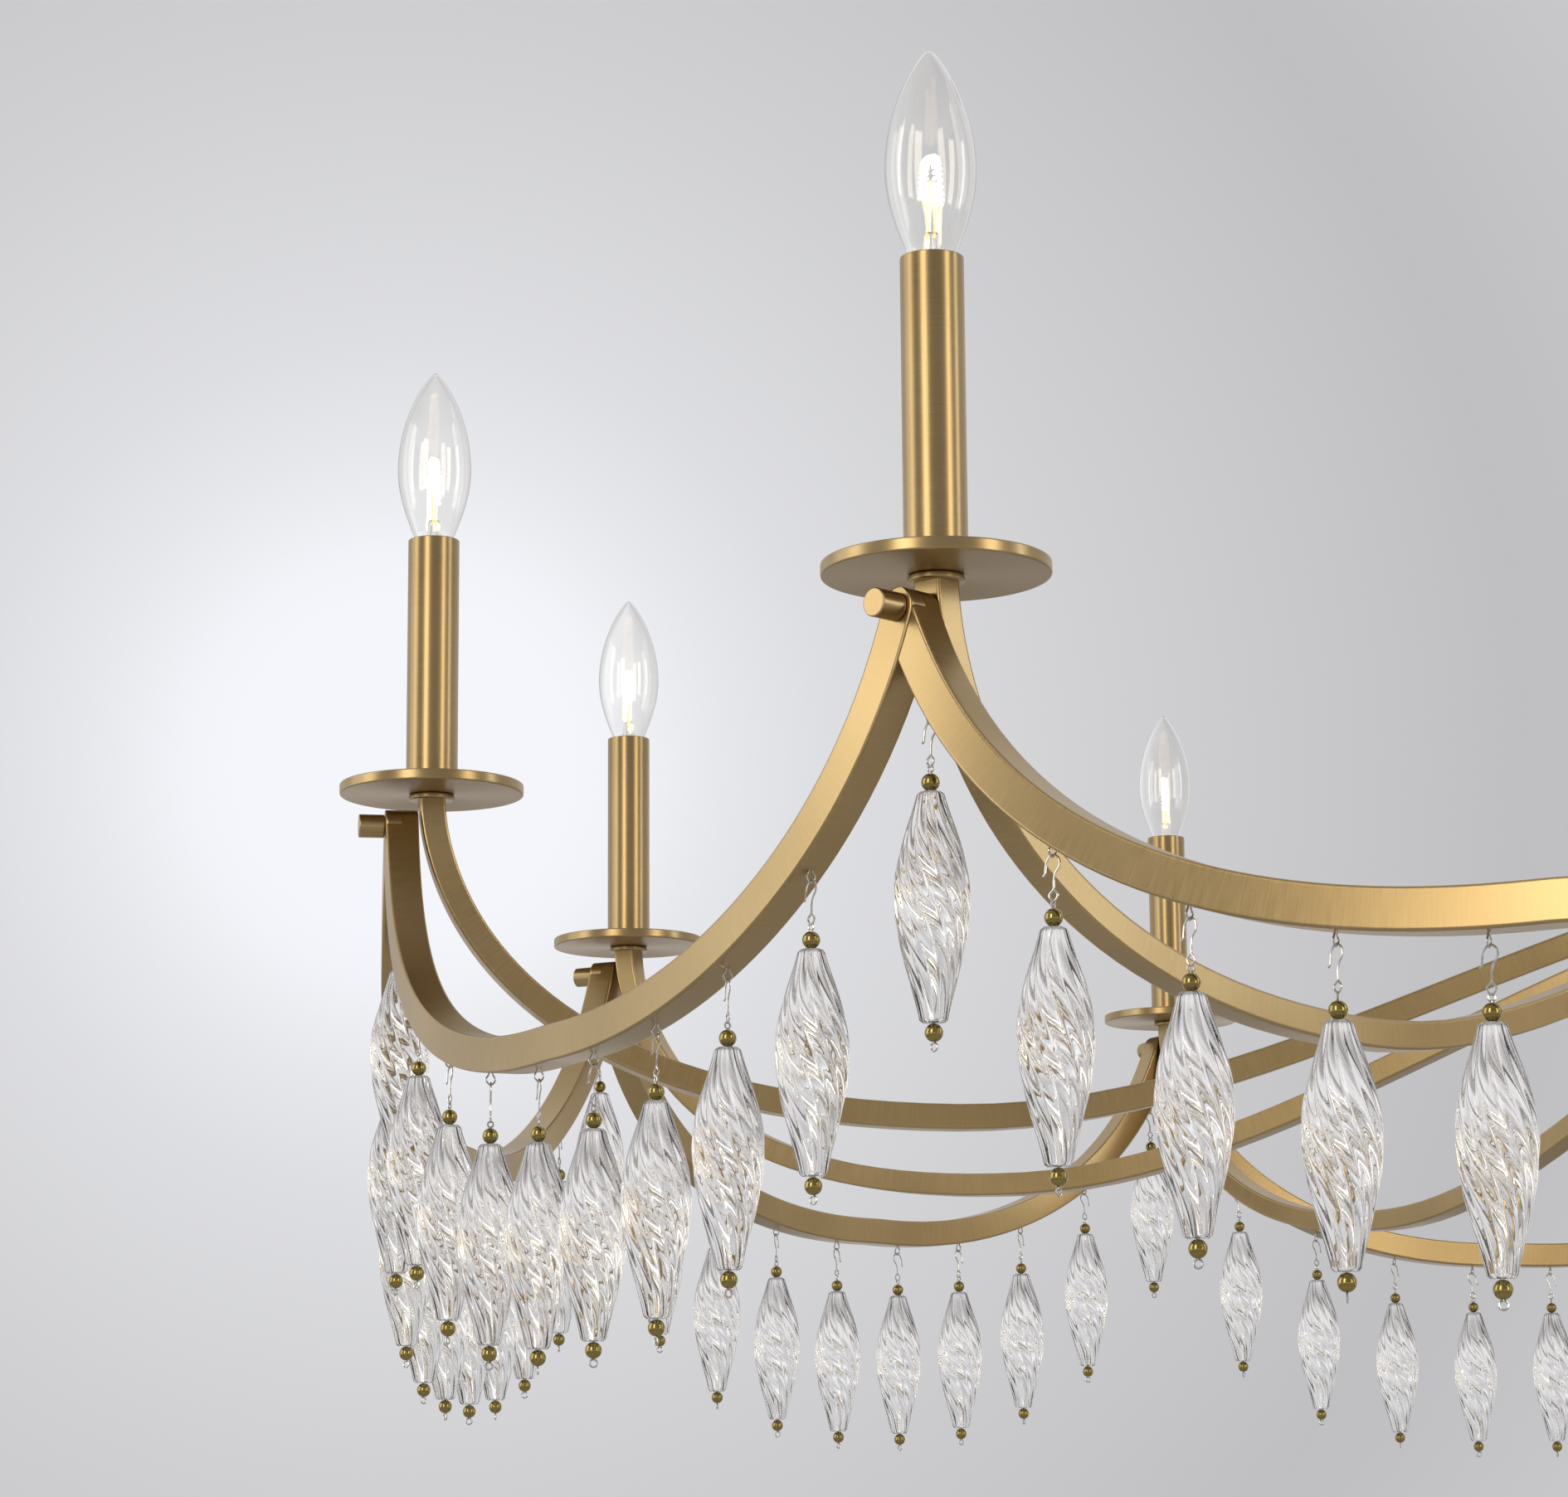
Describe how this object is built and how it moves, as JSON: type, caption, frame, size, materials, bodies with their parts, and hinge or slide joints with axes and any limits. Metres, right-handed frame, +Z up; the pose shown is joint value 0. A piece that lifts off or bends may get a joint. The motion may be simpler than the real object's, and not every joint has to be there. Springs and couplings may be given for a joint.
{
  "type": "multi arm chandelier",
  "caption": "Brass ring chandelier: candle lamps on curved arms, joined by scalloped bars with rows of hanging glass drops, on a stem from a ceiling canopy.",
  "frame": {"origin": "centre of the mounting strap's top face, where it meets the ceiling", "axes": "+Z up, -Y through the first candle, stations numbered anticlockwise seen from above"},
  "size_m": [1.4802, 1.5282, 0.9592],
  "materials": {
    "satin_brass": "satin brushed warm brass",
    "drop_glass": "clear twisted fluted glass",
    "lamp_glass": "clear lamp glass, lit",
    "strap_steel": "zinc plated"
  },
  "bodies": {
    "ceiling_mount": {"mounting_strap": "strap_steel", "canopy": "satin_brass"},
    "fixture": {"arm_1": "satin_brass", "swag_1": "satin_brass", "candle_1": "satin_brass", "bulb_1": "lamp_glass", "arm_2": "satin_brass", "swag_2": "satin_brass", "candle_2": "satin_brass", "bulb_2": "lamp_glass", "arm_3": "satin_brass", "swag_3": "satin_brass", "candle_3": "satin_brass", "bulb_3": "lamp_glass", "arm_4": "satin_brass", "swag_4": "satin_brass", "candle_4": "satin_brass", "bulb_4": "lamp_glass", "arm_5": "satin_brass", "swag_5": "satin_brass", "candle_5": "satin_brass", "bulb_5": "lamp_glass", "arm_6": "satin_brass", "swag_6": "satin_brass", "candle_6": "satin_brass", "bulb_6": "lamp_glass", "arm_7": "satin_brass", "swag_7": "satin_brass", "candle_7": "satin_brass", "bulb_7": "lamp_glass", "arm_8": "satin_brass", "swag_8": "satin_brass", "candle_8": "satin_brass", "bulb_8": "lamp_glass", "arm_9": "satin_brass", "swag_9": "satin_brass", "candle_9": "satin_brass", "bulb_9": "lamp_glass", "arm_10": "satin_brass", "swag_10": "satin_brass", "candle_10": "satin_brass", "bulb_10": "lamp_glass", "hub_drum": "satin_brass", "hub_top_cap": "satin_brass", "hub_finial": "satin_brass", "stem_lower": "satin_brass", "stem_coupler": "satin_brass", "stem_upper": "satin_brass", "swivel_ball": "satin_brass"},
    "drop_1": {"pendant_1": "drop_glass"},
    "drop_2": {"pendant_2": "drop_glass"},
    "drop_3": {"pendant_3": "drop_glass"},
    "drop_4": {"pendant_4": "drop_glass"},
    "drop_5": {"pendant_5": "drop_glass"},
    "drop_6": {"pendant_6": "drop_glass"},
    "drop_7": {"pendant_7": "drop_glass"},
    "drop_8": {"pendant_8": "drop_glass"},
    "drop_9": {"pendant_9": "drop_glass"},
    "drop_10": {"pendant_10": "drop_glass"}
  },
  "joints": [
    {"name": "hang_straight_swivel", "type": "hinge", "parent": "ceiling_mount", "child": "fixture", "pos_m": [0, 0, -0.033], "axis": [1, 0, 0], "range_deg": [-15, 15]},
    {"name": "drop_1_swing", "type": "hinge", "parent": "fixture", "child": "drop_1", "pos_m": [0.008, -0.73746, -0.75], "axis": [0.9999, 0.0108, 0], "range_deg": [-30, 30]},
    {"name": "drop_2_swing", "type": "hinge", "parent": "fixture", "child": "drop_2", "pos_m": [0.43994, -0.59191, -0.75], "axis": [0.8026, 0.5965, 0], "range_deg": [-30, 30]},
    {"name": "drop_3_swing", "type": "hinge", "parent": "fixture", "child": "drop_3", "pos_m": [0.70384, -0.22028, -0.75], "axis": [0.2987, 0.9544, 0], "range_deg": [-30, 30]},
    {"name": "drop_4_swing", "type": "hinge", "parent": "fixture", "child": "drop_4", "pos_m": [0.69889, 0.23549, -0.75], "axis": [-0.3193, 0.9476, 0], "range_deg": [-30, 30]},
    {"name": "drop_5_swing", "type": "hinge", "parent": "fixture", "child": "drop_5", "pos_m": [0.42699, 0.60132, -0.75], "axis": [-0.8153, 0.579, 0], "range_deg": [-30, 30]},
    {"name": "drop_6_swing", "type": "hinge", "parent": "fixture", "child": "drop_6", "pos_m": [-0.008, 0.73746, -0.75], "axis": [-0.9999, -0.0108, 0], "range_deg": [-30, 30]},
    {"name": "drop_7_swing", "type": "hinge", "parent": "fixture", "child": "drop_7", "pos_m": [-0.43994, 0.59191, -0.75], "axis": [-0.8026, -0.5965, 0], "range_deg": [-30, 30]},
    {"name": "drop_8_swing", "type": "hinge", "parent": "fixture", "child": "drop_8", "pos_m": [-0.70384, 0.22028, -0.75], "axis": [-0.2987, -0.9544, 0], "range_deg": [-30, 30]},
    {"name": "drop_9_swing", "type": "hinge", "parent": "fixture", "child": "drop_9", "pos_m": [-0.69889, -0.23549, -0.75], "axis": [0.3193, -0.9476, 0], "range_deg": [-30, 30]},
    {"name": "drop_10_swing", "type": "hinge", "parent": "fixture", "child": "drop_10", "pos_m": [-0.42699, -0.60132, -0.75], "axis": [0.8153, -0.579, 0], "range_deg": [-30, 30]}
  ]
}
